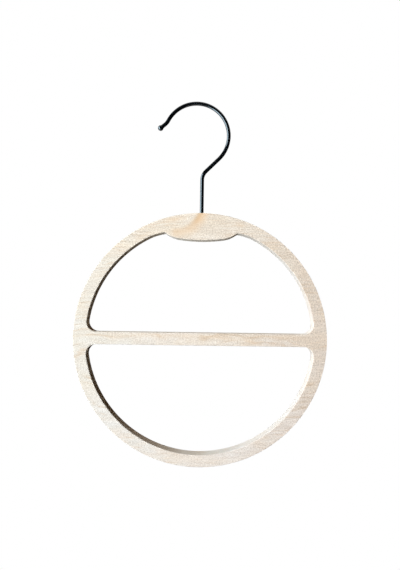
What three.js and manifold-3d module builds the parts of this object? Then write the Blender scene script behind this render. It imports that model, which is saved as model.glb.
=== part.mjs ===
// A wooden scarf hanger: one flat ring with a level cross bar, and a steel hook that swivels in its boss.
// Millimetres, +Z up, front face towards -Y. The origin is the rod saddle, the inside of the hook's crest.

import * as THREE from 'three';
import { mergeVertices } from 'three/addons/utils/BufferGeometryUtils.js';
import Module from 'manifold-3d';

const wasm = await Module();
wasm.setup();

const { degToRad } = THREE.MathUtils;

// The board: a ring with a bar across it and a boss inside its top
const RING_DIAMETER = 230;
const RING_BAND = 11;
const BOARD_THICKNESS = 12;
const EDGE_ROUND = 0.5;
const BAR_HEIGHT = 11.4;
const BAR_RISE = 0.7; // the bar's middle above the ring's centre
const BAR_FILLET = 9;
const BOSS_DROP = 13.7; // how far the boss hangs below the ring's inside
const BOSS_SOLE_WIDTH = 40;
const BOSS_SOLE_RADIUS = 150;
const BOSS_SHOULDER_RADIUS = 26;
const BOSS_NOTCH_RADIUS = 3;
const BOSS_LEAD_RADIUS = 49.3; // the ring's inside as it thickens towards the notch
const BOSS_SPAN = 97.7;

// The hook: one wire, turned at its shank, upset into a ball at its tip, and bent in one plane
const WIRE_DIAMETER = 3.5;
const STEM_STRAIGHT = 31.4;
const NECK_BEND_RADIUS = 11;
const NECK_SLOPE = degToRad(44.4);
const NECK_STRAIGHT = 16.4;
const HOOK_INSIDE_DIAMETER = 55.4;
const HOOK_WRAP = degToRad(198);
const TAIL_BEND_RADIUS = 12;
const TAIL_TURN = degToRad(22.5);
const TAIL_STRAIGHT = 5.3;
const BALL_DIAMETER = 5.1;
const BALL_FLARE_RADIUS = 2;

// The swivel: a groove turned in the shank, and a nail driven past it from the back of the board
const BORE_FLOOR = 4.7; // wood left under the bore
const SHANK_END_GAP = 1;
const SHANK_CHAMFER = 0.5;
const COLLAR_HEIGHT = 4; // shank left below its groove
const GROOVE_CORE_DIAMETER = 2;
const NAIL_DIAMETER = 1.6;
const NAIL_POINT = 1.2;
const NAIL_COVER = 1.6; // wood left in front of the nail's point
const NAIL_HEAD_DIAMETER = 3;
const NAIL_HEAD_THICKNESS = 0.7;
const NAIL_HEAD_SINK = 0.2;
const CLEARANCE = 0.3; // around everything that turns or seats in the wood
const CUT_OVERRUN = 2;

// Facets
const RING_SIDES = 144;
const OUTLINE_STEP = degToRad(9); // of the tighter arcs
const EDGE_SEGMENTS = 3;
const WIRE_SIDES = 20;
const BEND_STEP = degToRad(6);
const BALL_STEP = degToRad(15);
const HOLE_SIDES = 24;

const ringRadius = RING_DIAMETER / 2;
const insideRadius = ringRadius - RING_BAND;
const soleHeight = insideRadius - BOSS_DROP;
const backFace = BOARD_THICKNESS / 2;
const wireRadius = WIRE_DIAMETER / 2;
const hookRadius = (HOOK_INSIDE_DIAMETER + WIRE_DIAMETER) / 2;
const boreRadius = wireRadius + CLEARANCE;
const boreBottom = soleHeight + BORE_FLOOR;
const shankEnd = boreBottom + SHANK_END_GAP;
const grooveBottom = shankEnd + COLLAR_HEIGHT;
const grooveWidth = NAIL_DIAMETER + 2 * CLEARANCE;
const nailRadius = NAIL_DIAMETER / 2;
const nailOffset = GROOVE_CORE_DIAMETER / 2 + CLEARANCE + nailRadius;
const nailHeight = grooveBottom + CLEARANCE + nailRadius;

const wood = new THREE.MeshStandardMaterial({ color: 0xe9dfcf, roughness: 0.6, metalness: 0 });
const blackSteel = new THREE.MeshStandardMaterial({ color: 0x14181a, roughness: 0.3, metalness: 0.2 });
const brightSteel = new THREE.MeshStandardMaterial({ color: 0xa8a9aa, roughness: 0.35, metalness: 1 });

// The closed mesh of a geometry as a solid for boolean cuts, without the triangles that a pole flattens.
function toSolid(geometry) {
  const bare = geometry.clone();
  bare.deleteAttribute('normal');
  bare.deleteAttribute('uv');
  const merged = mergeVertices(bare);
  const corners = merged.index.array;
  const kept = [];
  for (let i = 0; i < corners.length; i += 3) {
    const [a, b, c] = [corners[i], corners[i + 1], corners[i + 2]];
    if (a !== b && b !== c && c !== a) kept.push(a, b, c);
  }
  return new wasm.Manifold(new wasm.Mesh({
    numProp: 3,
    vertProperties: merged.attributes.position.array,
    triVerts: new Uint32Array(kept),
  }));
}

function toGeometry(solid) {
  const mesh = solid.getMesh();
  const geometry = new THREE.BufferGeometry();
  geometry.setAttribute('position', new THREE.BufferAttribute(mesh.vertProperties, 3));
  geometry.setIndex(new THREE.BufferAttribute(mesh.triVerts, 1));
  const faceted = geometry.toNonIndexed();
  faceted.computeVertexNormals();
  return faceted;
}

function piece(name, geometry, material) {
  const mesh = new THREE.Mesh(geometry, material);
  mesh.name = name;
  return mesh;
}

// A point at a distance and an angle from another, the angle counted from straight up towards +X.
function offsetPoint(from, distance, angle) {
  return new THREE.Vector2(from.x + distance * Math.sin(angle), from.y + distance * Math.cos(angle));
}

function bearing(from, to) {
  return Math.atan2(to.x - from.x, to.y - from.y);
}

// The crossing of two circles that lies clockwise of the line from the first centre to the second.
function circleCrossing(centreA, radiusA, centreB, radiusB) {
  const span = centreA.distanceTo(centreB);
  const along = (radiusA ** 2 - radiusB ** 2 + span ** 2) / (2 * span);
  const aside = Math.sqrt(Math.max(0, radiusA ** 2 - along ** 2));
  return offsetPoint(centreA, Math.hypot(along, aside), bearing(centreA, centreB) + Math.atan2(aside, along));
}

// Points of an arc from one bearing to another, both ends in.
function arc(centre, radius, from, to, step = OUTLINE_STEP) {
  const count = Math.max(1, Math.ceil(Math.abs(to - from) / step));
  return Array.from({ length: count + 1 }, (_, i) => offsetPoint(centre, radius, from + (to - from) * i / count));
}

const ringCentre = new THREE.Vector2(0, 0);
const ringStep = 2 * Math.PI / RING_SIDES;

// The right half of the upper opening's edge, from the middle of the boss's sole round to the middle of the bar.
// Each arc is tangent to the next: sole, shoulder, notch, lead, the ring's inside, and the fillet to the bar.
function upperOpeningHalf() {
  const soleCentre = new THREE.Vector2(0, soleHeight + BOSS_SOLE_RADIUS);
  const soleEnd = Math.PI - Math.asin(BOSS_SOLE_WIDTH / 2 / BOSS_SOLE_RADIUS);
  const shoulderCentre = offsetPoint(soleCentre, BOSS_SOLE_RADIUS - BOSS_SHOULDER_RADIUS, soleEnd);
  const leadStart = Math.asin(BOSS_SPAN / 2 / insideRadius);
  const leadCentre = offsetPoint(ringCentre, insideRadius - BOSS_LEAD_RADIUS, leadStart);
  const notchCentre = circleCrossing(
    leadCentre, BOSS_LEAD_RADIUS - BOSS_NOTCH_RADIUS,
    shoulderCentre, BOSS_SHOULDER_RADIUS + BOSS_NOTCH_RADIUS,
  );
  const shoulderEnd = bearing(shoulderCentre, notchCentre);
  const notchEnd = bearing(leadCentre, notchCentre);
  const barTop = BAR_RISE + BAR_HEIGHT / 2;
  const filletHeight = barTop + BAR_FILLET;
  const filletStart = Math.acos(filletHeight / (insideRadius - BAR_FILLET));
  const filletCentre = offsetPoint(ringCentre, insideRadius - BAR_FILLET, filletStart);
  return [
    ...arc(soleCentre, BOSS_SOLE_RADIUS, Math.PI, soleEnd, ringStep),
    ...arc(shoulderCentre, BOSS_SHOULDER_RADIUS, soleEnd, shoulderEnd, OUTLINE_STEP / 2),
    ...arc(notchCentre, BOSS_NOTCH_RADIUS, shoulderEnd - Math.PI, notchEnd, 2 * OUTLINE_STEP),
    ...arc(leadCentre, BOSS_LEAD_RADIUS, notchEnd, leadStart, OUTLINE_STEP / 2),
    ...arc(ringCentre, insideRadius, leadStart, filletStart, ringStep),
    ...arc(filletCentre, BAR_FILLET, filletStart, Math.PI),
  ];
}

// The right half of the lower opening's edge, from the bar down to the bottom of the ring's inside.
function lowerOpeningHalf() {
  const filletHeight = BAR_RISE - BAR_HEIGHT / 2 - BAR_FILLET;
  const filletEnd = Math.acos(filletHeight / (insideRadius - BAR_FILLET));
  const filletCentre = offsetPoint(ringCentre, insideRadius - BAR_FILLET, filletEnd);
  return [
    ...arc(filletCentre, BAR_FILLET, 0, filletEnd),
    ...arc(ringCentre, insideRadius, filletEnd, Math.PI, ringStep),
  ];
}

// A closed outline from its right half, with the points that two arcs share taken once.
function mirroredOutline(half) {
  const leftHalf = half.map((point) => new THREE.Vector2(-point.x, point.y)).reverse();
  const points = [...half, ...leftHalf];
  return points.filter((point, i) => point.distanceTo(points[(i + 1) % points.length]) > CLEARANCE / 10);
}

function boardShape() {
  const shape = new THREE.Shape(arc(ringCentre, ringRadius, 2 * Math.PI, 0, ringStep).slice(0, -1));
  shape.holes = [upperOpeningHalf(), lowerOpeningHalf()].map((half) => new THREE.Path(mirroredOutline(half)));
  return shape;
}

// The blind bore for the shank, open at the top of the ring.
function boreCutter() {
  const height = ringRadius + CUT_OVERRUN - boreBottom;
  const cutter = new THREE.CylinderGeometry(boreRadius, boreRadius, height, HOLE_SIDES);
  cutter.rotateX(Math.PI / 2);
  cutter.translate(0, 0, boreBottom + height / 2);
  return toSolid(cutter);
}

// The nail's round outline about its own length, pointing along -Y from its head, grown all round by a gap.
// A hole for it has a gap, and runs on past the back face.
function nailGeometry(gap = 0, overrun = 0) {
  const headTop = backFace - NAIL_HEAD_SINK;
  const headSeat = headTop - NAIL_HEAD_THICKNESS - gap;
  const tip = NAIL_COVER - backFace - gap;
  const profile = [
    [0, tip],
    [nailRadius + gap, tip + NAIL_POINT],
    [nailRadius + gap, headSeat],
    [NAIL_HEAD_DIAMETER / 2 + gap, headSeat],
    [NAIL_HEAD_DIAMETER / 2 + gap, headTop + overrun],
    [0, headTop + overrun],
  ].map(([radius, height]) => new THREE.Vector2(radius, height));
  const nail = new THREE.LatheGeometry(profile, HOLE_SIDES);
  nail.translate(nailOffset, 0, nailHeight);
  return nail;
}

function boardGeometry() {
  const board = new THREE.ExtrudeGeometry(boardShape(), {
    depth: BOARD_THICKNESS - 2 * EDGE_ROUND,
    bevelThickness: EDGE_ROUND,
    bevelSize: EDGE_ROUND,
    bevelOffset: -EDGE_ROUND,
    bevelSegments: EDGE_SEGMENTS,
  });
  board.translate(0, 0, EDGE_ROUND - backFace);
  board.rotateX(Math.PI / 2);
  const nailHole = toSolid(nailGeometry(CLEARANCE, CUT_OVERRUN));
  return toGeometry(toSolid(board).subtract(boreCutter()).subtract(nailHole));
}

// The hook's bends in the order that a bender makes them: straight runs, and turns to the left if positive.
const hookMoves = [
  { straight: ringRadius - shankEnd + STEM_STRAIGHT },
  { radius: NECK_BEND_RADIUS, turn: NECK_SLOPE - Math.PI / 2 },
  { straight: NECK_STRAIGHT },
  { radius: hookRadius, turn: HOOK_WRAP },
  { radius: TAIL_BEND_RADIUS, turn: -TAIL_TURN },
  { straight: TAIL_STRAIGHT },
];

// Where a leg of the centreline is after a distance: the place (x across, y up) and the course from +X.
function along(leg, distance) {
  const course = leg.course + leg.curvature * distance;
  const step = leg.curvature === 0
    ? new THREE.Vector2(Math.cos(course), Math.sin(course)).multiplyScalar(distance)
    : new THREE.Vector2(
      (Math.sin(course) - Math.sin(leg.course)) / leg.curvature,
      (Math.cos(leg.course) - Math.cos(course)) / leg.curvature,
    );
  return { place: leg.place.clone().add(step), course };
}

function bendLegs(moves) {
  const legs = [];
  let state = { place: new THREE.Vector2(0, shankEnd), course: Math.PI / 2 };
  let start = 0;
  for (const { straight, radius, turn } of moves) {
    const length = straight ?? radius * Math.abs(turn);
    const curvature = straight === undefined ? Math.sign(turn) / radius : 0;
    const leg = { ...state, start, length, curvature };
    legs.push(leg);
    state = along(leg, length);
    start += length;
  }
  return legs;
}

const hookLegs = bendLegs(hookMoves);
const crestLeg = hookLegs[3];
const ballStation = hookLegs.at(-1).start + TAIL_STRAIGHT;

// The hook as a straight turned bar about Y, with its groove and its ball, before it is bent.
function straightHook() {
  const coreRadius = GROOVE_CORE_DIAMETER / 2;
  const grooveStart = grooveBottom - shankEnd;
  const profile = [
    [0, 0],
    [wireRadius - SHANK_CHAMFER, 0],
    [wireRadius, SHANK_CHAMFER],
    [wireRadius, grooveStart],
    [coreRadius, grooveStart],
    [coreRadius, grooveStart + grooveWidth],
    [wireRadius, grooveStart + grooveWidth],
  ];
  for (const leg of hookLegs) {
    const count = Math.ceil(Math.abs(leg.curvature) * leg.length / BEND_STEP);
    for (let i = 0; i <= count && count > 0; i += 1) {
      profile.push([wireRadius, leg.start + leg.length * i / count]);
    }
  }
  const ballRadius = BALL_DIAMETER / 2;
  const flareAxis = wireRadius + BALL_FLARE_RADIUS;
  const flareTurn = Math.acos(flareAxis / (ballRadius + BALL_FLARE_RADIUS));
  const flareStation = ballStation - flareAxis * Math.tan(flareTurn);
  const flareSteps = Math.ceil(flareTurn / BALL_STEP);
  for (let i = 0; i < flareSteps; i += 1) {
    const turn = flareTurn * i / flareSteps;
    profile.push([
      flareAxis - BALL_FLARE_RADIUS * Math.cos(turn),
      flareStation + BALL_FLARE_RADIUS * Math.sin(turn),
    ]);
  }
  const ballTurn = flareTurn + Math.PI / 2;
  const ballSteps = Math.ceil(ballTurn / BALL_STEP);
  for (let i = 0; i < ballSteps; i += 1) {
    const turn = ballTurn * i / ballSteps - flareTurn;
    profile.push([ballRadius * Math.cos(turn), ballStation + ballRadius * Math.sin(turn)]);
  }
  profile.push([0, ballStation + ballRadius]);
  const points = profile.map(([radius, station]) => new THREE.Vector2(radius, station));
  const distinct = points.filter((point, i) => i === 0 || point.distanceTo(points[i - 1]) > CLEARANCE / 10);
  return new THREE.LatheGeometry(distinct, WIRE_SIDES);
}

// Bends the straight bar along the centreline: each slice across it keeps its shape.
function hookGeometry() {
  const bar = straightHook();
  const position = bar.attributes.position;
  for (let i = 0; i < position.count; i += 1) {
    const station = position.getY(i);
    const leg = hookLegs.findLast(({ start }) => start <= station) ?? hookLegs[0];
    const { place, course } = along(leg, station - leg.start);
    const across = position.getX(i);
    position.setXYZ(
      i,
      place.x + across * Math.sin(course),
      -position.getZ(i),
      place.y - across * Math.cos(course),
    );
  }
  return toGeometry(toSolid(bar));
}

// The inside of the hook's crest, where a wardrobe rod bears.
function rodSaddle() {
  const { place, course } = crestLeg;
  const centre = new THREE.Vector2(
    place.x - hookRadius * Math.sin(course),
    place.y + hookRadius * Math.cos(course),
  );
  return new THREE.Vector2(centre.x, centre.y + HOOK_INSIDE_DIAMETER / 2);
}

const saddle = rodSaddle();
const scarfHanger = new THREE.Group();
const aboutRingCentre = new THREE.Group();
aboutRingCentre.position.set(-saddle.x, 0, -saddle.y);
aboutRingCentre.add(
  piece('frame_board', boardGeometry(), wood),
  piece('hook', hookGeometry(), blackSteel),
  piece('retaining_nail', nailGeometry(), brightSteel),
);
scarfHanger.add(aboutRingCentre);

export default scarfHanger;
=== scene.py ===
"""The looks of a round wooden scarf hanger with a swivelling black wire hook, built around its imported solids.

Metres, +Z up, front face towards -Y. The origin is the inside of the hook's crest, where a rod bears.
"""

import math
from types import SimpleNamespace

import bmesh
import bpy
from bpy.props import FloatProperty, FloatVectorProperty, PointerProperty
from mathutils import Euler, Matrix, Vector


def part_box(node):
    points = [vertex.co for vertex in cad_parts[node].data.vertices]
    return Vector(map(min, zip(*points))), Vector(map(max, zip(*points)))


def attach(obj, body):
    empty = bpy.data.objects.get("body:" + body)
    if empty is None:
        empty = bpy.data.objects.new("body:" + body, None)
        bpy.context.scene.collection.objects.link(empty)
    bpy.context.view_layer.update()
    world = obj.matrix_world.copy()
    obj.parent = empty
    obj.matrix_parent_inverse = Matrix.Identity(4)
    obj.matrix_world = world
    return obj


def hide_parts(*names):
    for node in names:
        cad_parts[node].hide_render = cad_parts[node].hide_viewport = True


bl_info = {
    "name": "Scarf hanger",
    "version": (1, 0, 0),
    "blender": (4, 5, 0),
    "location": "3D View > Sidebar > Scarf hanger",
    "description": "Models the wooden ring, the wire hook and its nail, with their finishes and a studio",
    "category": "Add Mesh",
}

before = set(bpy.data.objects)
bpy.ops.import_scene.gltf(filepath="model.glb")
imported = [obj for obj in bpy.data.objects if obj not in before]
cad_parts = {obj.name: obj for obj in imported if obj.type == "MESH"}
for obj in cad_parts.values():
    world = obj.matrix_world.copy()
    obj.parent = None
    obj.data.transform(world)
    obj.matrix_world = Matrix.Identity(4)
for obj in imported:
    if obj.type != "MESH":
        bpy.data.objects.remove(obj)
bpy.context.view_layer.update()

BOARD_LOW, BOARD_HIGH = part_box("frame_board")
HOOK_LOW, HOOK_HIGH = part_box("hook")
NAIL_LOW, NAIL_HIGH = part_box("retaining_nail")
RING_CENTRE = (BOARD_LOW + BOARD_HIGH) / 2

DEPTH_AXIS = Vector((0, 1, 0))
MERGE_DISTANCE = 1e-6
RIM_TURN = math.radians(80)  # faces that meet at more than this share a rim of the board
SHARP_TURN = math.radians(40)
FACE_LIMIT = 0.5  # a face looks to the front or back if its normal's share along the depth is more than this
INSET_SHARE = 1.5  # the band kept level beside a rounded edge, as a share of the rounding
MM = 1000  # millimetres in a metre, the scale of the wood's patterns

# Facets
RING_STEP = math.radians(1.25)
SOLE_STEP = RING_STEP / 2
TIGHT_STEP = math.radians(3)
NOTCH_STEP = 2 * TIGHT_STEP
BEND_STEP = math.radians(3)
BALL_STEP = math.radians(9)
ROUNDING_SEGMENTS = 5
HEAD_SEGMENTS = 3
WIRE_SIDES = 40
NAIL_SIDES = 32
FLOOR_SIDES = 96
SCREEN_STEPS = 72


def number(name, default, description, **kind):
    return FloatProperty(name=name, description=description, default=default, **kind)


def length(name, default, description):
    return number(name, default, description, unit="LENGTH", subtype="DISTANCE", precision=5)


def angle(name, degrees, description):
    return number(name, math.radians(degrees), description, unit="ROTATION", subtype="ANGLE")


def colour(name, default, description):
    return FloatVectorProperty(
        name=name, description=description, default=default, size=3, min=0, max=1, subtype="COLOR"
    )


def share(name, default, description):
    return number(name, default, description, min=0, max=1, subtype="FACTOR")


class BoardSettings(bpy.types.PropertyGroup):
    ring_diameter: length("Ring diameter", BOARD_HIGH.x - BOARD_LOW.x, "Outside diameter of the ring")
    thickness: length("Thickness", BOARD_HIGH.y - BOARD_LOW.y, "Thickness of the board")
    ring_band: length("Ring band", 0.011, "Width of the ring's band, seen from the front")
    edge_round: length("Edge rounding", 0.0005, "Radius of the sanded edges")
    bar_height: length("Bar height", 0.0114, "Height of the cross bar")
    bar_rise: length("Bar rise", 0.0007, "How far the bar's middle is above the ring's centre")
    bar_fillet: length("Bar fillet", 0.009, "Radius of the corners between bar and ring")
    boss_drop: length("Boss drop", 0.0137, "How far the boss hangs below the ring's inside")
    sole_width: length("Sole width", 0.040, "Width of the boss's underside, between its shoulders")
    sole_radius: length("Sole radius", 0.150, "Radius of the boss's slightly bowed underside")
    shoulder_radius: length("Shoulder radius", 0.026, "Radius of the boss's shoulders")
    notch_radius: length("Notch radius", 0.003, "Radius of the notch where boss and ring meet")
    lead_radius: length("Lead radius", 0.0493, "Radius of the ring's inside beside the notch")
    boss_span: length("Boss span", 0.0977, "Width over which the ring thickens to the boss")
    bore_diameter: length("Bore diameter", 0.0041, "Diameter of the hole that the hook turns in")
    bore_room: length("Bore room", 0.001, "Room between the shank's end and the bottom of its hole")
    mouth_chamfer: length("Mouth chamfer", 0.0003, "Break of the edge round the hook's hole")
    nail_gap: length("Nail gap", 0.0003, "Room between the nail and its hole")
    # pale, cream and rosy paint light: the plank is paler and cooler at its left end, nearest the window lamps,
    # as if washed out by them, and rosier at its right end
    pale: colour("Pale wood", (0.825, 0.797, 0.727), "Colour of the early wood at the plank's left end")
    cream: colour("Cream wood", (0.882, 0.818, 0.733), "Colour of the early wood in the plank's middle")
    rosy: colour("Rosy wood", (0.842, 0.750, 0.655), "Colour of the early wood at the plank's right end")
    tan: colour("Tan wood", (0.70, 0.53, 0.36), "Colour of the late wood and the grain lines")
    warm: colour("Warm figure", (0.90, 0.66, 0.42), "Colour of the orange streaks in the boss")
    ring_spacing: length("Growth ring spacing", 0.0027, "Width of one year's growth")
    grain: share("Grain strength", 0.8, "How far the grain lines go from pale to tan")


class HookSettings(bpy.types.PropertyGroup):
    wire_diameter: length("Wire diameter", 0.0035, "Diameter of the hook's wire")
    stem_straight: length("Stem height", 0.0314, "Straight stem above the ring")
    neck_bend: length("Neck bend", 0.011, "Radius of the bend above the stem")
    neck_slope: angle("Neck slope", 44.4, "Slope of the neck from level")
    neck_straight: length("Neck length", 0.0164, "Straight part of the neck")
    inside_diameter: length("Inside diameter", 0.0554, "Diameter of the rod that the hook takes")
    wrap: angle("Wrap", 198, "How far the hook goes round the rod")
    tail_bend: length("Tail bend", 0.012, "Radius of the bend back at the tail")
    tail_turn: angle("Tail turn", 22.5, "How far the tail bends back")
    tail_straight: length("Tail length", 0.0053, "Straight part of the tail up to the ball's middle")
    ball_diameter: length("Ball diameter", HOOK_HIGH.y - HOOK_LOW.y, "Diameter of the ball at the hook's tip")
    ball_flare: length("Ball flare", 0.002, "Radius between wire and ball")
    shank_chamfer: length("Shank chamfer", 0.0005, "Chamfer at the shank's end")
    collar_height: length("Collar height", 0.004, "Shank left below its groove")
    groove_width: length("Groove width", 0.0022, "Width of the groove that the nail runs in")
    core_diameter: length("Core diameter", 0.002, "Diameter left inside the groove")
    lacquer: colour("Lacquer", (0.0020, 0.0032, 0.0042), "Colour of the black lacquer")


class NailSettings(bpy.types.PropertyGroup):
    diameter: length("Nail diameter", 0.0016, "Diameter of the nail's shank")
    head_diameter: length("Head diameter", NAIL_HIGH.x - NAIL_LOW.x, "Diameter of the nail's head")
    head_thickness: length("Head thickness", 0.0007, "Thickness of the nail's head")
    head_round: length("Head rounding", 0.00021, "Radius of the edge of the nail's head")
    point: length("Point", 0.0012, "Length of the nail's point")
    steel: colour("Steel", (0.45, 0.45, 0.46), "Colour of the bright steel")


class StudioSettings(bpy.types.PropertyGroup):
    distance: length("Camera distance", 0.4105, "From the camera to the board's front face")
    camera_x: length("Camera across", 0.0078, "Place of the camera across the hanger")
    camera_z: length("Camera height", -0.1792, "Height of the camera, counted up from the rod")
    roll: angle("Camera roll", 0.82, "How far the hanger leans clockwise in the picture")
    lens: number("Lens", 28.695, "Focal length in millimetres", min=1, unit="CAMERA")
    rise: number("Frame rise", 0.028356, "How far the frame is moved up, as a share of its height")
    aside: number("Frame shift", -0.005, "How far the frame is moved right, as a share of its height")
    floor_drop: length("Floor drop", 1.7, "How far the floor is below the ring's centre")
    floor_radius: length("Floor radius", 6, "Radius of the studio floor")
    floor_pale: colour("Floor", (0.80, 0.795, 0.785), "Colour of the studio floor")
    shade: number("Shade", 0.04, "Strength of the light that comes from all round")
    shade_tint: colour("Shade tint", (1.0, 0.56, 0.26), "Colour of the light that comes from all round")
    side_sun: number("Side sun", 3.0, "Strength of the beam in the board's plane")
    side_sun_spread: angle("Side sun spread", 0.5, "How far the beam in the board's plane spreads")
    screen_radius: length("Screen radius", 1.0, "Radius of the dark screen round the front and sides")
    screen_height: length("Screen height", 3.0, "Height of the dark screen")
    screen_turn: angle("Screen turn", 300, "How far the dark screen goes round the hanger")
    card_distance: length("Card distance", 0.75, "How far the card for the lacquer's gloss is from the ring")
    card_width: length("Card width", 0.58, "Width of the card")
    card_drop: length("Card drop", 0.30, "How far the card's middle hangs below the ring's centre")
    card_height: length("Card height", 2.1, "Height of the card")
    card_strength: number("Card strength", 19.0, "Brightness of the card")
    card_tint: colour("Card tint", (0.68, 0.88, 1.0), "Colour of the card")


def offset_point(start, distance, bearing):
    """A point at a distance and a bearing from another, counted from straight up towards +X."""
    return start + distance * Vector((math.sin(bearing), 0, math.cos(bearing)))


def bearing_of(start, end):
    return math.atan2(end.x - start.x, end.z - start.z)


def circle_crossing(centre_a, radius_a, centre_b, radius_b):
    """The crossing of two circles that lies clockwise of the line between their centres."""
    span = (centre_b - centre_a).length
    reach = (radius_a**2 - radius_b**2 + span**2) / (2 * span)
    aside = math.sqrt(max(0, radius_a**2 - reach**2))
    return offset_point(centre_a, radius_a, bearing_of(centre_a, centre_b) + math.atan2(aside, reach))


def last_points(spun):
    return [part for part in spun["geom_last"] if isinstance(part, bmesh.types.BMVert)]


def draw_arcs(shape, start, arcs):
    """Draws a chain of arcs, each of them its centre, turn and step, by spinning the chain's last point."""
    point = shape.verts.new(start)
    for centre, turn, step in arcs:
        steps = max(1, math.ceil(abs(turn) / step))
        spun = bmesh.ops.spin(shape, geom=[point], cent=centre, axis=DEPTH_AXIS, angle=turn, steps=steps)
        point = last_points(spun)[0]


def draw_upper_opening(shape, size):
    """The right half of the upper opening: sole, shoulder, notch, lead, the ring's inside and a fillet."""
    inside = size.ring_diameter / 2 - size.ring_band
    sole = inside - size.boss_drop
    sole_centre = Vector((0, 0, sole + size.sole_radius))
    sole_end = math.pi - math.asin(size.sole_width / 2 / size.sole_radius)
    shoulder_centre = offset_point(sole_centre, size.sole_radius - size.shoulder_radius, sole_end)
    lead_end = math.asin(size.boss_span / 2 / inside)
    lead_centre = offset_point(Vector(), inside - size.lead_radius, lead_end)
    notch_centre = circle_crossing(
        lead_centre,
        size.lead_radius - size.notch_radius,
        shoulder_centre,
        size.shoulder_radius + size.notch_radius,
    )
    shoulder_end = bearing_of(shoulder_centre, notch_centre)
    notch_end = bearing_of(lead_centre, notch_centre)
    fillet_height = size.bar_rise + size.bar_height / 2 + size.bar_fillet
    fillet_start = math.acos(fillet_height / (inside - size.bar_fillet))
    fillet_centre = offset_point(Vector(), inside - size.bar_fillet, fillet_start)
    draw_arcs(
        shape,
        (0, 0, sole),
        [
            (sole_centre, sole_end - math.pi, SOLE_STEP),
            (shoulder_centre, shoulder_end - sole_end, TIGHT_STEP),
            (notch_centre, notch_end - (shoulder_end - math.pi), NOTCH_STEP),
            (lead_centre, lead_end - notch_end, RING_STEP),
            (Vector(), fillet_start - lead_end, RING_STEP),
            (fillet_centre, math.pi - fillet_start, TIGHT_STEP),
        ],
    )


def draw_lower_opening(shape, size):
    """The right half of the lower opening: a fillet and the ring's inside."""
    inside = size.ring_diameter / 2 - size.ring_band
    fillet_height = size.bar_rise - size.bar_height / 2 - size.bar_fillet
    fillet_end = math.acos(fillet_height / (inside - size.bar_fillet))
    fillet_centre = offset_point(Vector(), inside - size.bar_fillet, fillet_end)
    draw_arcs(
        shape,
        fillet_centre + Vector((0, 0, size.bar_fillet)),
        [(fillet_centre, fillet_end, TIGHT_STEP), (Vector(), math.pi - fillet_end, RING_STEP)],
    )


def close_bars(shape):
    """Joins the open ends of the half outlines across the middle by mirroring them."""
    for vert in shape.verts:
        if len(vert.link_edges) < 2 and abs(vert.co.x) > MERGE_DISTANCE:
            tip = bmesh.ops.extrude_vert_indiv(shape, verts=[vert])["verts"][0]
            tip.co.x = 0
    bmesh.ops.mirror(
        shape, geom=shape.verts[:] + shape.edges[:], matrix=Matrix(), merge_dist=MERGE_DISTANCE, axis="X"
    )


def check_closed(shape, name):
    bmesh.ops.recalc_face_normals(shape, faces=shape.faces[:])
    open_edges = [edge for edge in shape.edges if not edge.is_manifold]
    if open_edges:
        raise RuntimeError(f"{name} is not closed: {len(open_edges)} of its edges are open")


def finished_mesh(shape, name):
    """A smooth shaded mesh with its folds kept sharp."""
    check_closed(shape, name)
    mesh = bpy.data.meshes.new(name)
    shape.to_mesh(mesh)
    shape.free()
    mesh.polygons.foreach_set("use_smooth", [True] * len(mesh.polygons))
    mesh.set_sharp_from_angle(angle=SHARP_TURN)
    return mesh


def add_object(name, mesh, material=None):
    made = bpy.data.objects.new(name, mesh)
    bpy.context.scene.collection.objects.link(made)
    if material:
        mesh.materials.clear()
        mesh.materials.append(material)
    return made


def turned(profile, sides, place):
    """A closed turned form: a chain of (radius, height) points spun about Z, then put in place."""
    shape = bmesh.new()
    points = [shape.verts.new((radius, 0, height)) for radius, height in profile]
    chain = [shape.edges.new(pair) for pair in zip(points, points[1:])]
    bmesh.ops.spin(
        shape,
        geom=points + chain,
        cent=(0, 0, 0),
        axis=(0, 0, 1),
        angle=2 * math.pi,
        steps=sides,
        use_merge=True,
    )
    bmesh.ops.remove_doubles(shape, verts=shape.verts[:], dist=MERGE_DISTANCE)
    bmesh.ops.transform(shape, matrix=place, verts=shape.verts[:])
    return shape


def cut(target, cutters):
    """Cuts holes with closed forms, keeps the result as the target's own mesh, and removes the cutters."""
    for cutter in cutters:
        hole = target.modifiers.new(cutter.name, "BOOLEAN")
        hole.operation = "DIFFERENCE"
        hole.solver = "EXACT"
        hole.object = cutter
    evaluated = target.evaluated_get(bpy.context.evaluated_depsgraph_get())
    whole = target.data
    target.data = bpy.data.meshes.new_from_object(evaluated)
    target.modifiers.clear()
    bpy.data.meshes.remove(whole)
    for cutter in cutters:
        bpy.data.meshes.remove(cutter.data)


def along_depth(place):
    """Puts a turned form's length along +Y, from a place."""
    return Matrix.Translation(place) @ Euler((-math.pi / 2, 0, 0)).to_matrix().to_4x4()


def rgba(values):
    return (*values, 1.0)


# The colour sockets of a Mix node share their names with its other sockets, so they go by number
MIX_FIRST, MIX_SECOND, MIX_RESULT = 6, 7, 2
NOISE_LOW, NOISE_HIGH = 0.3, 0.7  # a noise seldom leaves this range


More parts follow.
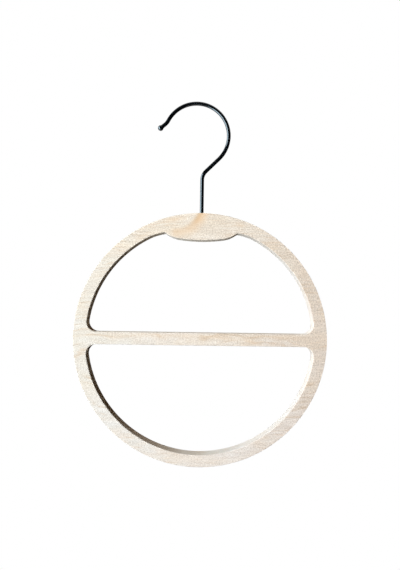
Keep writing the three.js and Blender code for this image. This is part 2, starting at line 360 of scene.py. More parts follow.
class NodeTree:
    """A node tree that is filled one node at a time, each node's output passed on as a socket."""

    def __init__(self, owner):
        owner.use_nodes = True
        self.tree = owner.node_tree
        self.tree.nodes.clear()

    def add(self, kind, inputs=None, output=0, **settings):
        made = self.tree.nodes.new("ShaderNode" + kind)
        for name, value in settings.items():
            setattr(made, name, value)
        for name, value in (inputs or {}).items():
            if isinstance(value, bpy.types.NodeSocket):
                self.tree.links.new(value, made.inputs[name])
            else:
                made.inputs[name].default_value = value
        return made.outputs[output]

    def math(self, operation, *values, clamp=False):
        return self.add("Math", dict(enumerate(values)), operation=operation, use_clamp=clamp)

    def plus(self, base, value, weight=1.0):
        """The base with a weighted value added to it."""
        return self.math("MULTIPLY_ADD", value, weight, base)

    def times(self, first, *others):
        for other in others:
            first = self.math("MULTIPLY", first, other)
        return first

    def distance(self, vector):
        return self.add("VectorMath", {0: vector}, output="Value", operation="LENGTH")

    def place(self, vector, location=(0, 0, 0), rotation=(0, 0, 0), scale=(1, 1, 1), kind="POINT"):
        inputs = {"Vector": vector, "Location": location, "Rotation": rotation, "Scale": scale}
        return self.add("Mapping", inputs, vector_type=kind)

    def noise(self, vector, scale=1.0, detail=2.0, roughness=0.5):
        inputs = {"Vector": vector, "Scale": scale, "Detail": detail, "Roughness": roughness}
        return self.add("TexNoise", inputs)

    def ranged(self, value, low, high, to_low=0.0, to_high=1.0, smooth=True):
        inputs = {0: value, 1: low, 2: high, 3: to_low, 4: to_high}
        return self.add("MapRange", inputs, interpolation_type="SMOOTHSTEP" if smooth else "LINEAR")

    def spread(self, noise, low, high):
        """A noise spread evenly from a low to a high value."""
        return self.ranged(noise, NOISE_LOW, NOISE_HIGH, low, high, smooth=False)

    def mix(self, factor, first, second, blend="MIX", clamp=True):
        inputs = {0: factor, MIX_FIRST: first, MIX_SECOND: second}
        settings = {"data_type": "RGBA", "blend_type": blend, "clamp_factor": clamp}
        return self.add("Mix", inputs, output=MIX_RESULT, **settings)

    def tint(self, factor, body, tint):
        """A colour multiplied by a tint. Above 1 the factor goes past the tint, below 0 the other way."""
        return self.mix(factor, body, rgba(tint), blend="MULTIPLY", clamp=False)

    def ramp(self, value, stops):
        """A colour ramp through stops, each of them a position and a colour."""
        made = self.add("ValToRGB", {"Fac": value})
        ramp = made.node.color_ramp
        ramp.interpolation = "EASE"
        for position, colour_there in stops:
            ramp.elements.new(position).color = rgba(colour_there)
        ramp.elements.remove(ramp.elements[0])
        ramp.elements.remove(ramp.elements[-1])
        return made

    def bump(self, height, strength, distance):
        return self.add("Bump", {"Height": height, "Strength": strength, "Distance": distance})

    def surface(self, shader):
        out = self.tree.nodes.new("ShaderNodeOutputMaterial")
        self.tree.links.new(shader, out.inputs["Surface"])


# In the finishes a range is the two values between which something works, then what it gives at each of them,
# where that isn't 0 and 1. Places on the wood are in millimetres from the ring's centre.

# The wood's noises: repeats in a millimetre along, through and up the board, detail and roughness
WOOD_NOISES = {
    "wander": ((0.016, 0.03, 0.03), 2.0, 0.5),
    "ripple": ((0.045, 0.30, 0.30), 3.0, 0.5),
    "stretch": ((0.05, 0.11, 0.11), 2.0, 0.5),
    "fibre": ((0.06, 0.75, 0.75), 3.0, 0.6),
    "fleck": ((0.75, 1.0, 1.0), 1.0, 0.5),
    "pore": ((0.55, 4.2, 4.2), 1.0, 0.5),
    "mottle": ((0.06, 0.12, 0.12), 2.0, 0.5),
    "patch": ((0.03, 0.08, 0.08), 2.0, 0.5),
    "vessel": ((0.5, 2.6, 2.6), 2.0, 0.6),
}
PORE_OPENS = (0.60, 0.74)

# Growth rings: the ring's centre seen from the pith, and how far the growth rings stray
PITH_TO_CENTRE = (0, -58, 26)
RING_WANDER = 16.0
RING_RIPPLE = 2.0
# A year's growth: place in the year and darkness
YEAR_RING = ((0.0, 0.6), (0.10, 0.0), (0.66, 0.10), (0.94, 1.0))
RING_SHOWS = (0.40, 0.62, 0.15, 1.0)

# The faces' colour: how far each pattern shifts it, and the tints that it goes towards
HALF_PLANK = 115.0
BLUSH = 0.25
BLUSH_RISE = 60.0
SUNNY_RISE = (-HALF_PLANK, HALF_PLANK, -0.4, 1.0)
SUNNY_TINT = (1.0, 0.98, 0.93)
RING_DARKNESS = 0.55
TONE_START = -0.08
FIBRE_TONE = 0.06
MOTTLE_TONE = 0.06
FLECK_DULLS = (0.28, 0.72, 0.47, -0.47)
FIBRE_DULLS = 0.18
PORE_DULLS = 0.20
DULL_UPWARDS = (-150.0, 150.0, 0.83, 1.17)
DULL_TINT = (0.60, 0.58, 0.56)
PATCH_REACH = 0.6
PATCH_TINT = (1.0, 0.975, 0.93)

# Warm figure: centre across and up, half sizes, lean in degrees, strength
WARM_FIGURE = (
    ((-27.5, 108.0), (17.0, 2.8), 12, 0.42),
    ((35.7, 104.4), (6.5, 3.2), -12, 0.34),
    ((-50.0, 94.5), (7.0, 2.2), 15, 0.25),
    ((25.0, 95.5), (6.0, 2.2), 5, 0.18),
    ((-31.0, 3.7), (38.0, 3.2), 0, 0.34),
    ((20.3, 2.0), (28.0, 2.0), -5, 0.26),
    ((47.0, -1.2), (14.0, 2.0), -15, 0.34),
    ((77.0, 3.0), (24.0, 3.5), 0, 0.34),
)
FIGURE_DEPTH = 40  # half the depth of a streak, far more than the board's
FIGURE_EDGE = (1.1, 2.4)
FIGURE_STRENGTH = 0.85
FLECK_FRAY = 1.6
RIPPLE_FRAY = 0.8
# The swirl in the boss, a bow round a centre: radii between which it rises and falls, and where it shows
SWIRL_CENTRE = (-24.5, 0, 123.0)
SWIRL_FRAY = 1.5
SWIRL_SHRINK = -1.8
SWIRL_RISE = (20.0, 25.5)
SWIRL_FALL = (35.5, 24.5)
SWIRL_STARTS = (-29.0, -23.0)
SWIRL_ALONG = (-18.0, -4.0, 0.52, 0.76)
SWIRL_TOP = (103.5, 109.0, 0.0, 0.32)
SEAM_RISE = (20.8, 24.0)
SEAM_FALL = (27.5, 24.0)
SEAM_STRENGTH = 0.32
SEAM_TINT = (0.70, 0.66, 0.60)

# Cut sides: place from those that face left to those that face right, and colour. The colours paint shade:
# sides that face right, away from the window lamps, are darker and warmer, and sides that face the lamps are
# paler and greyer
CUT_TINTS_AND_PAINTED_SHADE = (
    (0.02, (0.78, 0.79, 0.775)),
    (0.09, (0.82, 0.845, 0.845)),
    (0.15, (0.91, 0.935, 0.92)),
    (0.24, (0.96, 0.96, 0.92)),
    (0.34, (0.97, 0.965, 0.925)),
    (0.43, (0.96, 0.95, 0.87)),
    (0.50, (0.93, 0.88, 0.77)),
    (0.56, (0.91, 0.85, 0.74)),
    (0.65, (0.77, 0.67, 0.53)),
    (0.76, (0.80, 0.655, 0.48)),
    (0.98, (0.73, 0.65, 0.50)),
)
CUT_STRENGTH = 0.75
CUT_STARTS = (0.55, 0.10)  # by the normal's share along the depth
VESSEL_DARKNESS = (-0.40, 0.24)
VESSEL_RING = 0.45
VESSEL_MOTTLE = 0.15
VESSEL_TINT = (0.80, 0.71, 0.58)
END_GRAIN_STRENGTH = 0.10
END_GRAIN_TINT = (0.50, 0.35, 0.22)
# The sanded edge between a face and a cut side, by the normal's share along the depth
EDGE_FROM_SIDE = (0.10, 0.45)
EDGE_FROM_FACE = (0.99, 0.75)
EDGE_STRENGTH = 0.55
EDGE_COLOUR = (0.90, 0.88, 0.84)

# The wood's relief and roughness
RELIEF_FIBRE = 0.6
RELIEF_PORE = -0.5
RELIEF_FLECK = 0.4
RELIEF_STRENGTH = 0.35
RELIEF_DEPTH = 0.00006
PORE_ROUGHNESS = 0.3
WOOD_ROUGHNESS = (0.3, 0.9, 0.58, 0.74)


def wood_patterns(nodes, grain):
    """The wood's noises by name, with the places along and up the plank in millimetres."""
    wood = SimpleNamespace()
    for name, (repeats, detail, roughness) in WOOD_NOISES.items():
        noise = nodes.noise(nodes.place(grain, scale=repeats), detail=detail, roughness=roughness)
        setattr(wood, name, noise)
    wood.pore = nodes.ranged(wood.pore, *PORE_OPENS)
    wood.along = nodes.add("SeparateXYZ", {0: grain})
    wood.height = wood.along.node.outputs["Z"]
    return wood


def growth_rings(nodes, grain, wood, spacing):
    """The darkness of the growth rings about a pith behind the board, which wander along the plank."""
    radius = nodes.distance(nodes.place(grain, location=PITH_TO_CENTRE, scale=(0, 1, 1)))
    radius = nodes.plus(radius, wood.wander, RING_WANDER)
    radius = nodes.plus(radius, wood.ripple, RING_RIPPLE)
    season = nodes.math("FRACT", nodes.math("DIVIDE", radius, spacing))
    ring = nodes.ramp(season, [(position, (value, value, value)) for position, value in YEAR_RING])
    return nodes.times(ring, nodes.ranged(wood.stretch, *RING_SHOWS))


def face_colour(nodes, wood, size):
    """The plank's colour from its left end to its right, paler at the left as painted light from the window
    lamps, with rings, fibres, flecks, pores and patches.
    """
    blush = nodes.spread(wood.mottle, -BLUSH, BLUSH)
    # painted light: the plank pales towards its left end, nearest the window lamps; the blush is random tone
    drift = nodes.plus(blush, wood.along, 1 / HALF_PLANK)
    body = nodes.mix(nodes.ranged(drift, -1.0, 0.0), rgba(size.pale), rgba(size.cream))
    body = nodes.mix(nodes.ranged(drift, 0.0, 1.0), body, rgba(size.rosy))
    sunny = nodes.plus(wood.height, blush, BLUSH_RISE)
    body = nodes.tint(nodes.ranged(sunny, *SUNNY_RISE, smooth=False), body, SUNNY_TINT)

    tone = nodes.math("MULTIPLY_ADD", wood.ring, RING_DARKNESS, TONE_START)
    tone = nodes.plus(tone, nodes.spread(wood.fibre, -FIBRE_TONE, FIBRE_TONE))
    tone = nodes.plus(tone, nodes.spread(wood.mottle, -MOTTLE_TONE, MOTTLE_TONE))
    body = nodes.mix(nodes.times(tone, size.grain), body, rgba(size.tan), clamp=False)

    dull = nodes.ranged(wood.fleck, *FLECK_DULLS, smooth=False)
    dull = nodes.plus(dull, nodes.spread(wood.fibre, -FIBRE_DULLS, FIBRE_DULLS))
    dull = nodes.plus(dull, wood.pore, PORE_DULLS)
    dull = nodes.times(dull, nodes.ranged(nodes.plus(wood.height, wood.along), *DULL_UPWARDS))
    body = nodes.tint(dull, body, DULL_TINT)
    return nodes.tint(nodes.spread(wood.patch, -PATCH_REACH, PATCH_REACH), body, PATCH_TINT)


def warm_figure(nodes, grain, wood, body, warm):
    """The orange streaks in bar and boss and the swirl in the boss, their outlines broken up by the grain."""
    fray = nodes.plus(nodes.times(wood.fleck, FLECK_FRAY), wood.ripple, RIPPLE_FRAY)
    figure = 0.0
    for (x, z), (half_x, half_z), lean, strength in WARM_FIGURE:
        turn = (0, math.radians(-lean), 0)
        half_sizes = (half_x, FIGURE_DEPTH, half_z)
        streak = nodes.place(grain, location=(x, 0, z), rotation=turn, scale=half_sizes, kind="TEXTURE")
        reach = nodes.plus(nodes.distance(streak), fray)
        figure = nodes.math("MAXIMUM", figure, nodes.ranged(reach, *FIGURE_EDGE, strength, 0.0))

    swirl = nodes.place(grain, location=SWIRL_CENTRE, kind="TEXTURE")
    swirl = nodes.distance(nodes.place(swirl, scale=(1, 0, 1)))
    swirl = nodes.plus(nodes.plus(swirl, fray, SWIRL_FRAY), SWIRL_SHRINK)
    span = nodes.plus(nodes.ranged(wood.along, *SWIRL_ALONG), nodes.ranged(wood.height, *SWIRL_TOP))
    span = nodes.times(span, nodes.ranged(wood.along, *SWIRL_STARTS))
    glow = nodes.times(nodes.ranged(swirl, *SWIRL_RISE), nodes.ranged(swirl, *SWIRL_FALL), span)
    figure = nodes.math("MAXIMUM", figure, glow)
    body = nodes.mix(nodes.times(figure, FIGURE_STRENGTH), body, rgba(warm))
    seam = nodes.times(nodes.ranged(swirl, *SEAM_RISE), nodes.ranged(swirl, *SEAM_FALL), span, SEAM_STRENGTH)
    return nodes.tint(seam, body, SEAM_TINT)


def cut_sides(nodes, wood, body):
    """The cut sides' end grain, their colour by the side they face, which paints shade on those facing right,
    and the paler sanded edges.
    """
    facing = nodes.add("SeparateXYZ", {0: nodes.add("TexCoord", output="Normal")}).node
    sideways = facing.outputs["X"]
    depth = nodes.math("ABSOLUTE", facing.outputs["Y"])
    cut_side = nodes.ranged(depth, *CUT_STARTS)
    # painted shade: cut sides that face right, away from the window lamps, are tinted darker and warmer
    cut_tint_and_shade = nodes.ramp(nodes.ranged(sideways, -1.0, 1.0, smooth=False), CUT_TINTS_AND_PAINTED_SHADE)
    body = nodes.mix(nodes.times(cut_side, CUT_STRENGTH), body, cut_tint_and_shade)
    vessel = nodes.spread(wood.vessel, *VESSEL_DARKNESS)
    vessel = nodes.plus(vessel, wood.ring, VESSEL_RING)
    vessel = nodes.plus(vessel, nodes.spread(wood.mottle, -VESSEL_MOTTLE, VESSEL_MOTTLE))
    body = nodes.tint(nodes.times(vessel, cut_side), body, VESSEL_TINT)
    end_grain = nodes.times(nodes.math("ABSOLUTE", sideways), cut_side, END_GRAIN_STRENGTH)
    body = nodes.tint(end_grain, body, END_GRAIN_TINT)
    edge = nodes.times(nodes.ranged(depth, *EDGE_FROM_SIDE), nodes.ranged(depth, *EDGE_FROM_FACE))
    return nodes.mix(nodes.times(edge, EDGE_STRENGTH), body, rgba(EDGE_COLOUR))


def wood_material(size):
    """Pale bleached wood, cut from one plank, so its level grain runs through from side to side."""
    material = bpy.data.materials.new("pale_bleached_wood")
    nodes = NodeTree(material)
    place = nodes.add("TexCoord", output="Object")
    grain = nodes.place(place, location=-RING_CENTRE * MM, scale=(MM, MM, MM))
    wood = wood_patterns(nodes, grain)
    wood.ring = growth_rings(nodes, grain, wood, size.ring_spacing * MM)
    body = face_colour(nodes, wood, size)
    body = warm_figure(nodes, grain, wood, body, size.warm)
    body = cut_sides(nodes, wood, body)

    relief = nodes.plus(nodes.times(wood.fibre, RELIEF_FIBRE), wood.pore, RELIEF_PORE)
    relief = nodes.plus(relief, wood.fleck, RELIEF_FLECK)
    inputs = {
        "Base Color": body,
        "Roughness": nodes.ranged(nodes.plus(wood.fleck, wood.pore, PORE_ROUGHNESS), *WOOD_ROUGHNESS),
        "Specular IOR Level": 0.0,
        "Normal": nodes.bump(relief, RELIEF_STRENGTH, RELIEF_DEPTH),
    }
    nodes.surface(nodes.add("BsdfPrincipled", inputs))
    return material


# The lacquer's noises: repeats in a metre and detail
LACQUER_CLOUD = (140.0, 3.0)
LACQUER_PEEL = (1300.0, 2.0)
LACQUER_SPECK = (2600.0, 1.0)
CLOUD_SHOWS = (0.35, 0.65)
CLOUD_COLOUR = (0.0030, 0.0042, 0.0052)
SPECK_SHOWS = (0.70, 0.78, 0.0, 0.5)
SPECK_COLOUR = (0.008, 0.009, 0.010)
SPECK_ROUGHNESS = 0.12
LACQUER_ROUGHNESS = (0.3, 0.7, 0.15, 0.21)
LACQUER_SPECULAR = 0.5
PEEL_STRENGTH = 0.02
PEEL_DEPTH = 0.00003


def lacquer_material(size):
    """Black lacquer on steel wire: glossy, slightly uneven where it was dipped."""
    material = bpy.data.materials.new("black_lacquer")
    nodes = NodeTree(material)
    place = nodes.add("TexCoord", output="Object")
    cloud = nodes.noise(place, *LACQUER_CLOUD)
    speck = nodes.ranged(nodes.noise(place, *LACQUER_SPECK), *SPECK_SHOWS)
    body = nodes.mix(nodes.ranged(cloud, *CLOUD_SHOWS), rgba(size.lacquer), rgba(CLOUD_COLOUR))
    inputs = {
        "Base Color": nodes.mix(speck, body, rgba(SPECK_COLOUR)),
        "Roughness": nodes.plus(nodes.ranged(cloud, *LACQUER_ROUGHNESS), speck, SPECK_ROUGHNESS),
        "Specular IOR Level": LACQUER_SPECULAR,
        "Normal": nodes.bump(nodes.noise(place, *LACQUER_PEEL), PEEL_STRENGTH, PEEL_DEPTH),
    }
    nodes.surface(nodes.add("BsdfPrincipled", inputs))
    return material


# The steel's noises: repeats in a metre and detail, and the turn and repeats of its scratches
STEEL_CLOUD = (900.0, 3.0)
SCRATCH_TURN = (0, 0.6, 0)
SCRATCH_REPEATS = (900, 900, 12000)
DULLED_SHOWS = (0.35, 0.75)
DULLED_STEEL = (0.30, 0.27, 0.25)
STEEL_ROUGHNESS = (0.3, 0.7, 0.26, 0.42)
SCRATCH_ROUGHNESS = 0.1
SCRATCH_STRENGTH = 0.2
SCRATCH_DEPTH = 0.00002


def steel_material(size):
    """Bright drawn steel with faint scratches and a little dulling."""
    material = bpy.data.materials.new("nail_steel")
    nodes = NodeTree(material)
    place = nodes.add("TexCoord", output="Object")
    cloud = nodes.noise(place, *STEEL_CLOUD)
    scratch = nodes.noise(nodes.place(place, rotation=SCRATCH_TURN, scale=SCRATCH_REPEATS))
    inputs = {
        "Base Color": nodes.mix(nodes.ranged(cloud, *DULLED_SHOWS), rgba(size.steel), rgba(DULLED_STEEL)),
        "Metallic": 1.0,
        "Roughness": nodes.plus(nodes.ranged(cloud, *STEEL_ROUGHNESS), scratch, SCRATCH_ROUGHNESS),
        "Normal": nodes.bump(scratch, SCRATCH_STRENGTH, SCRATCH_DEPTH),
    }
    nodes.surface(nodes.add("BsdfPrincipled", inputs))
    return material


def board_slab(size):
    """The board without its holes: its outline filled, given its thickness, and its rims rounded."""
    shape = bmesh.new()
    draw_upper_opening(shape, size)
    draw_lower_opening(shape, size)
    close_bars(shape)
    bmesh.ops.create_circle(
        shape,
        segments=round(2 * math.pi / RING_STEP),
        radius=size.ring_diameter / 2,
        matrix=Euler((math.pi / 2, 0, 0)).to_matrix().to_4x4(),
    )
    bmesh.ops.triangle_fill(shape, use_beauty=True, edges=shape.edges[:], normal=-DEPTH_AXIS)
    bmesh.ops.translate(shape, vec=DEPTH_AXIS * -size.thickness / 2, verts=shape.verts[:])
    lifted = bmesh.ops.extrude_face_region(shape, geom=shape.faces[:], use_keep_orig=True)
    back = [part for part in lifted["geom"] if isinstance(part, bmesh.types.BMVert)]
    bmesh.ops.translate(shape, vec=DEPTH_AXIS * size.thickness, verts=back)
    bmesh.ops.recalc_face_normals(shape, faces=shape.faces[:])
    rims = [edge for edge in shape.edges if edge.calc_face_angle(0) > RIM_TURN]
    faces = [face for face in shape.faces if abs(face.normal.y) > FACE_LIMIT]
    band = INSET_SHARE * size.edge_round
    bmesh.ops.inset_region(shape, faces=faces, thickness=band, use_boundary=True, use_even_offset=True)
    bmesh.ops.bevel(
        shape,
        geom=rims,
        affect="EDGES",
        offset=size.edge_round,
        offset_type="OFFSET",
        segments=ROUNDING_SEGMENTS,
        profile=0.5,
        material=-1,
    )
    bmesh.ops.translate(shape, vec=RING_CENTRE, verts=shape.verts[:])
    return shape


def board_holes(size, nail):
    """The forms that cut the blind hole for the hook, its mouth broken, and the hole for the nail."""
    radius = size.bore_diameter / 2
    bottom = HOOK_LOW.z - size.bore_room
    rim = RING_CENTRE.z + size.ring_diameter / 2
    bore_profile = (
        (0, bottom),
        (radius, bottom),
        (radius, rim - size.mouth_chamfer),
        (radius + 2 * size.mouth_chamfer, rim + size.mouth_chamfer),
        (0, rim + size.mouth_chamfer),
    )
    bore = turned(bore_profile, WIRE_SIDES, Matrix.Translation((RING_CENTRE.x, 0, 0)))
    nail_hole = turned(nail_profile(nail, size.nail_gap, size.nail_gap), NAIL_SIDES, nail_place())
    return [
        add_object("bore", finished_mesh(bore, "bore")),
        add_object("nail_hole", finished_mesh(nail_hole, "nail_hole")),
    ]


class SCARF_HANGER_OT_board(bpy.types.Operator):
    """Models the wooden board: the ring, its cross bar and the boss, with the holes for hook and nail"""

    bl_idname = "scarf_hanger.board"
    bl_label = "Wooden board"

    def execute(self, context):
        size = context.scene.scarf_board
        slab = finished_mesh(board_slab(size), "wooden_board")
        board = add_object("wooden_board", slab, wood_material(size))
        cut(board, board_holes(size, context.scene.scarf_nail))
        board.data.set_sharp_from_angle(angle=SHARP_TURN)
        weighted = board.modifiers.new("flat faces", "WEIGHTED_NORMAL")
        weighted.keep_sharp = True
        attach(board, "frame")
        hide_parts("frame_board")
        return {"FINISHED"}


class WireBender:
    """Feeds a wire out and bends it in the hanger's plane, by moving and spinning its end's ring of edges."""

    def __init__(self, shape, start, radius):
        self.shape = shape
        self.place = Vector(start)
        self.course = math.pi / 2  # from +X towards +Z
        self.radius = radius
        matrix = Matrix.Translation(start)
        bmesh.ops.create_circle(shape, cap_ends=True, segments=WIRE_SIDES, radius=radius, matrix=matrix)
        self.ring = shape.edges[:]

    def feed(self, distance, radius=None):
        """Feeds straight wire, to a new radius if one is given."""
        moved = bmesh.ops.extrude_edge_only(self.shape, edges=self.ring)["geom"]
        points = [part for part in moved if isinstance(part, bmesh.types.BMVert)]
        self.ring = [part for part in moved if isinstance(part, bmesh.types.BMEdge)]
        step = distance * Vector((math.cos(self.course), 0, math.sin(self.course)))
        bmesh.ops.translate(self.shape, vec=step, verts=points)
        self.place += step
        if radius is not None:
            factor = radius / self.radius
            at_place = Matrix.Translation(-self.place)
            bmesh.ops.scale(self.shape, vec=(factor, factor, factor), space=at_place, verts=points)
            self.radius = radius

    def bend(self, radius, turn):
        """Bends the wire to the left, or to the right if the turn is negative."""
        side = math.copysign(radius, turn)
        centre = self.place + side * Vector((-math.sin(self.course), 0, math.cos(self.course)))
        spun = bmesh.ops.spin(
            self.shape,
            geom=self.ring,
            cent=centre,
            axis=-DEPTH_AXIS,
            angle=turn,
            steps=math.ceil(abs(turn) / BEND_STEP),
        )
        self.ring = [part for part in spun["geom_last"] if isinstance(part, bmesh.types.BMEdge)]
        self.place = centre + Matrix.Rotation(turn, 3, -DEPTH_AXIS) @ (self.place - centre)
        self.course += turn

    def close(self):
        """Closes the last ring of edges with a face."""
        bmesh.ops.edgeloop_fill(self.shape, edges=self.ring)


def form_ball(wire, size):
    """Flares the wire's end out into its ball, up to the ball's far pole."""
    ball = size.ball_diameter / 2
    axis = wire.radius + size.ball_flare
    flare_turn = math.acos(axis / (ball + size.ball_flare))
    stations = []
    for i in range(1, math.ceil(flare_turn / BALL_STEP) + 1):
        turn = flare_turn * i / math.ceil(flare_turn / BALL_STEP)
        stations.append((size.ball_flare * math.sin(turn), axis - size.ball_flare * math.cos(turn)))
    middle = axis * math.tan(flare_turn)
    ball_turn = flare_turn + math.pi / 2
    steps = math.ceil(ball_turn / BALL_STEP)
    for i in range(1, steps):
        turn = ball_turn * i / steps - flare_turn
        stations.append((middle + ball * math.sin(turn), ball * math.cos(turn)))
    wire.feed(size.tail_straight - middle)
    reached = 0
    for station, radius in stations:
        wire.feed(station - reached, radius)
        reached = station


class SCARF_HANGER_OT_hook(bpy.types.Operator):
    """Models the hook: one wire with a grooved shank, bent round the rod and upset into a ball at its tip"""

    bl_idname = "scarf_hanger.hook"
    bl_label = "Wire hook"

    def execute(self, context):
        size = context.scene.scarf_hook
        radius = size.wire_diameter / 2
        core = size.core_diameter / 2
        ring_top = BOARD_HIGH.z
        groove_end = size.collar_height + size.groove_width
        shape = bmesh.new()
        wire = WireBender(shape, (RING_CENTRE.x, 0, HOOK_LOW.z), radius - size.shank_chamfer)
        wire.feed(size.shank_chamfer, radius)
        wire.feed(size.collar_height - size.shank_chamfer)
        wire.feed(0, core)
        wire.feed(size.groove_width)
        wire.feed(0, radius)
        wire.feed(ring_top + size.stem_straight - HOOK_LOW.z - groove_end)
        wire.bend(size.neck_bend, size.neck_slope - math.pi / 2)
        wire.feed(size.neck_straight)
        wire.bend(size.inside_diameter / 2 + radius, size.wrap)
        wire.bend(size.tail_bend, -size.tail_turn)
        form_ball(wire, size)
        wire.close()
        hook = add_object("wire_hook", finished_mesh(shape, "wire_hook"), lacquer_material(size))
        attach(hook, "hook")
        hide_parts("hook")
        return {"FINISHED"}


def nail_place():
    return along_depth(((NAIL_LOW.x + NAIL_HIGH.x) / 2, 0, (NAIL_LOW.z + NAIL_HIGH.z) / 2))


def nail_profile(size, gap=0.0, overrun=0.0):
    """The nail's outline from its point to its head, grown by a gap, as radius and depth."""
    seat = NAIL_HIGH.y - size.head_thickness - gap
    tip = NAIL_LOW.y - gap
    shank = size.diameter / 2 + gap
    head = size.head_diameter / 2 + gap
    top = NAIL_HIGH.y + overrun
    return (0, tip), (shank, tip + size.point), (shank, seat), (head, seat), (head, top), (0, top)


class SCARF_HANGER_OT_nail(bpy.types.Operator):
    """Models the nail that runs in the hook's groove and keeps the hook in the boss"""

    bl_idname = "scarf_hanger.nail"
    bl_label = "Retaining nail"

    def execute(self, context):
        size = context.scene.scarf_nail
        shape = turned(nail_profile(size), NAIL_SIDES, nail_place())
        check_closed(shape, "retaining_nail")
        edges = [edge for edge in shape.edges if edge.calc_face_angle(0) > SHARP_TURN]
        rim = [edge for edge in edges if min(vert.co.y for vert in edge.verts) > NAIL_HIGH.y - MERGE_DISTANCE]
        bmesh.ops.bevel(
            shape,
            geom=rim,
            affect="EDGES",
            offset=size.head_round,
            offset_type="OFFSET",
            segments=HEAD_SEGMENTS,
            profile=0.5,
            material=-1,
        )
        nail = add_object("steel_nail", finished_mesh(shape, "steel_nail"), steel_material(size))
        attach(nail, "frame")
        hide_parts("retaining_nail")
        return {"FINISHED"}


# Lamps: name, the side seen from the ring's middle, distance, width and height in metres, power in watts
LAMPS = (
    ("upper_window_lamp", (-0.69, -0.60, 0.50), 1.7, 0.9, 1.1, 28.0),
    ("lower_window_lamp", (-0.69, -0.60, -0.38), 1.7, 0.9, 1.3, 23.2),
    ("rear_lamp", (-0.21, 0.98, 0.04), 2.4, 0.5, 0.5, 52.0),
)
SUN_SIDE = (1, 0, 0)
SUN_DISTANCE = 1.0  # a sun lights alike from any distance
CARD_SIDE = (-0.93, -0.36, 0)
CARD_FADE = (-1.40, -0.62)  # heights between which the card's lower end fades
CARD_LOW_SHARE = 0.06
FLOOR_GRIT = (180.0, 2.0)  # repeats in a metre and detail
GRIT_SHOWS = 0.04
GRIT_COLOUR = (0.70, 0.695, 0.685)
UNSEEN_FLOOR = (0.06, 0.06, 0.06)  # the floor's colour for other rays, so that it throws little light up
FLOOR_FADE = (0.8, 1.8, 0.7, 1.0)  # metres from the hanger, and the backdrop's share there
BLACK = (0, 0, 0)
WHITE = (1, 1, 1)
SENSOR_WIDTH = 36  # millimetres


def studio_place(side, distance):
    """A place in the studio, on one side of the ring's middle and turned to face it."""
    way = Vector(side).normalized()
    turn = way.to_track_quat("Z", "Y").to_matrix().to_4x4()
    return Matrix.Translation(Vector((RING_CENTRE.x, 0, RING_CENTRE.z)) + way * distance) @ turn


def place_lamp(lamp, side, distance):
    """Puts a lamp in the studio, where neither the camera nor a gloss sees it."""
    lamp_object = bpy.data.objects.new(lamp.name, lamp)
    lamp_object.matrix_world = studio_place(side, distance)
    lamp_object.visible_camera = False
    lamp_object.visible_glossy = False
    bpy.context.scene.collection.objects.link(lamp_object)


def add_lamp(name, side, distance, width, height, power):
    lamp = bpy.data.lights.new(name, "AREA")
    lamp.shape = "RECTANGLE"
    lamp.size = width
    lamp.size_y = height
    lamp.energy = power
    place_lamp(lamp, side, distance)


def add_side_sun(size):
    """A narrow beam in the board's plane, which lights the outer side on the right and no inner side."""
    sun = bpy.data.lights.new("side_sun", "SUN")
    sun.energy = size.side_sun
    sun.angle = size.side_sun_spread
    place_lamp(sun, SUN_SIDE, SUN_DISTANCE)


def seen_share(nodes):
    """One for a ray by which the camera, a gloss or clear glass sees the surroundings, otherwise zero."""
    path = nodes.add("LightPath").node
    seen = nodes.math("ADD", path.outputs["Is Camera Ray"], path.outputs["Is Glossy Ray"])
    return nodes.math("ADD", seen, path.outputs["Is Transmission Ray"], clamp=True)


def add_gloss_card(size):
    """A bright card beside the window that shows only in the gloss of the finishes and lights nothing."""
    shape = bmesh.new()
    scale = Matrix.Diagonal((size.card_width / 2, size.card_height / 2, 1, 1))
    place = studio_place(CARD_SIDE, size.card_distance) @ Matrix.Translation((0, -size.card_drop, 0))
    bmesh.ops.create_grid(shape, x_segments=1, y_segments=1, size=1, matrix=place @ scale)
    mesh = bpy.data.meshes.new("gloss_card")
    shape.to_mesh(mesh)
    shape.free()
    material = bpy.data.materials.new("gloss_card")
    material.cycles.emission_sampling = "NONE"
    nodes = NodeTree(material)
    height = nodes.add("SeparateXYZ", {0: nodes.add("TexCoord", output="Object")}, output="Z")
    strength = nodes.ranged(height, *CARD_FADE, CARD_LOW_SHARE * size.card_strength, size.card_strength)
    nodes.surface(nodes.add("Emission", {"Color": rgba(size.card_tint), "Strength": strength}))
    show_in_gloss(add_object("gloss_card", mesh, material))


def show_in_gloss(screen):
    """Makes a piece of the studio show in the gloss of the finishes alone."""
    for kind in ("camera", "diffuse", "shadow", "transmission", "volume_scatter"):
        setattr(screen, "visible_" + kind, False)


def add_dark_screen(size):
    """A black screen round the front and the sides, as photographers use to keep a gloss dark."""
    shape = bmesh.new()
    half = size.screen_height / 2
    start = Vector((0, -size.screen_radius, 0)) + RING_CENTRE
    ends = [shape.verts.new(start + Vector((0, 0, side))) for side in (-half, half)]
    edge = shape.edges.new(ends)
    to_start = Matrix.Rotation(-size.screen_turn / 2, 3, "Z")
    bmesh.ops.rotate(shape, verts=ends, cent=RING_CENTRE, matrix=to_start)
    bmesh.ops.spin(
        shape,
        geom=[*ends, edge],
        cent=RING_CENTRE,
        axis=(0, 0, 1),
        angle=size.screen_turn,
        steps=SCREEN_STEPS,
    )
    mesh = bpy.data.meshes.new("dark_screen")
    shape.to_mesh(mesh)
    shape.free()
    material = bpy.data.materials.new("dark_screen")
    nodes = NodeTree(material)
    nodes.surface(nodes.add("BsdfDiffuse", {"Color": rgba(BLACK)}))
    show_in_gloss(add_object("dark_screen", mesh, material))


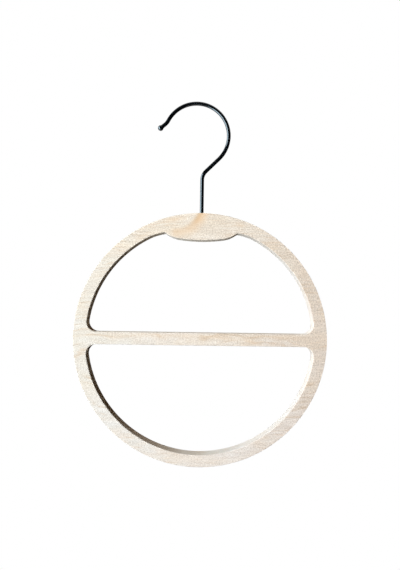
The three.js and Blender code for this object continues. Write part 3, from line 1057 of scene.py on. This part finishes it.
def floor_material(size):
    """A pale matt floor that fades into the white of the backdrop away from the hanger."""
    material = bpy.data.materials.new("studio_floor")
    nodes = NodeTree(material)
    place = nodes.place(nodes.add("TexCoord", output="Object"), scale=(1, 1, 0))
    grit = nodes.ranged(nodes.noise(place, *FLOOR_GRIT), NOISE_LOW, NOISE_HIGH, 0.0, GRIT_SHOWS)
    body = nodes.mix(grit, rgba(size.floor_pale), rgba(GRIT_COLOUR))
    seen = seen_share(nodes)
    floor = nodes.add("BsdfDiffuse", {"Color": nodes.mix(seen, rgba(UNSEEN_FLOOR), body)})
    white = nodes.add("Emission", {"Color": rgba(WHITE), "Strength": 1.0})
    fade = nodes.times(nodes.ranged(nodes.distance(place), *FLOOR_FADE), seen)
    nodes.surface(nodes.add("MixShader", {0: fade, 1: floor, 2: white}))
    return material


def build_world(size):
    """White where a camera, a gloss or clear glass sees it, and a low even light otherwise."""
    world = bpy.data.worlds.new("studio")
    nodes = NodeTree(world)
    shade = nodes.add("Background", {"Color": rgba(size.shade_tint), "Strength": size.shade})
    white = nodes.add("Background", {"Color": rgba(WHITE), "Strength": 1.0})
    sky = nodes.add("MixShader", {0: seen_share(nodes), 1: shade, 2: white})
    out = nodes.tree.nodes.new("ShaderNodeOutputWorld")
    nodes.tree.links.new(sky, out.inputs["Surface"])
    bpy.context.scene.world = world


def add_floor(size):
    shape = bmesh.new()
    bmesh.ops.create_circle(shape, cap_ends=True, segments=FLOOR_SIDES, radius=size.floor_radius)
    height = RING_CENTRE.z - size.floor_drop
    bmesh.ops.translate(shape, vec=(RING_CENTRE.x, 0, height), verts=shape.verts[:])
    mesh = bpy.data.meshes.new("studio_floor")
    shape.to_mesh(mesh)
    shape.free()
    add_object("studio_floor", mesh, floor_material(size))


def add_camera(size):
    """The camera in front of the hanger, level but for its roll, its frame shifted to place the hanger."""
    camera = bpy.data.cameras.new("camera")
    camera.sensor_width = SENSOR_WIDTH
    camera.lens = size.lens
    camera.shift_y = size.rise
    camera.shift_x = size.aside
    camera_object = bpy.data.objects.new("camera", camera)
    camera_object.location = (size.camera_x, BOARD_LOW.y - size.distance, size.camera_z)
    camera_object.rotation_euler = (math.pi / 2, -size.roll, 0)
    bpy.context.scene.collection.objects.link(camera_object)
    bpy.context.scene.camera = camera_object


class SCARF_HANGER_OT_stage(bpy.types.Operator):
    """Sets up the floor, the white surroundings, the lamps, the gloss card and its screen, and the camera"""

    bl_idname = "scarf_hanger.stage"
    bl_label = "Studio and camera"

    def execute(self, context):
        size = context.scene.scarf_studio
        add_floor(size)
        build_world(size)
        for lamp in LAMPS:
            add_lamp(*lamp)
        add_side_sun(size)
        add_gloss_card(size)
        add_dark_screen(size)
        add_camera(size)
        context.scene.view_settings.view_transform = "Standard"
        return {"FINISHED"}


OPERATORS = (SCARF_HANGER_OT_board, SCARF_HANGER_OT_hook, SCARF_HANGER_OT_nail, SCARF_HANGER_OT_stage)


class SCARF_HANGER_PT_sidebar(bpy.types.Panel):
    """Sizes, colours and the steps that build the hanger"""

    bl_idname = "SCARF_HANGER_PT_sidebar"
    bl_label = "Scarf hanger"
    bl_space_type = "VIEW_3D"
    bl_region_type = "UI"
    bl_category = "Scarf hanger"

    def draw(self, context):
        for operator, settings in zip(OPERATORS, SETTINGS):
            box = self.layout.box()
            box.operator(operator.bl_idname)
            group = getattr(context.scene, settings)
            for name in type(group).__annotations__:
                box.prop(group, name)


SETTINGS = {
    "scarf_board": BoardSettings,
    "scarf_hook": HookSettings,
    "scarf_nail": NailSettings,
    "scarf_studio": StudioSettings,
}


def register():
    for group in (*SETTINGS.values(), *OPERATORS, SCARF_HANGER_PT_sidebar):
        bpy.utils.register_class(group)
    for name, group in SETTINGS.items():
        setattr(bpy.types.Scene, name, PointerProperty(type=group))


def unregister():
    for name in SETTINGS:
        delattr(bpy.types.Scene, name)
    for group in (SCARF_HANGER_PT_sidebar, *reversed(OPERATORS), *reversed(SETTINGS.values())):
        bpy.utils.unregister_class(group)


def main():
    register()
    bpy.ops.scarf_hanger.board()
    bpy.ops.scarf_hanger.hook()
    bpy.ops.scarf_hanger.nail()
    bpy.ops.scarf_hanger.stage()


if __name__ == "__main__":
    main()
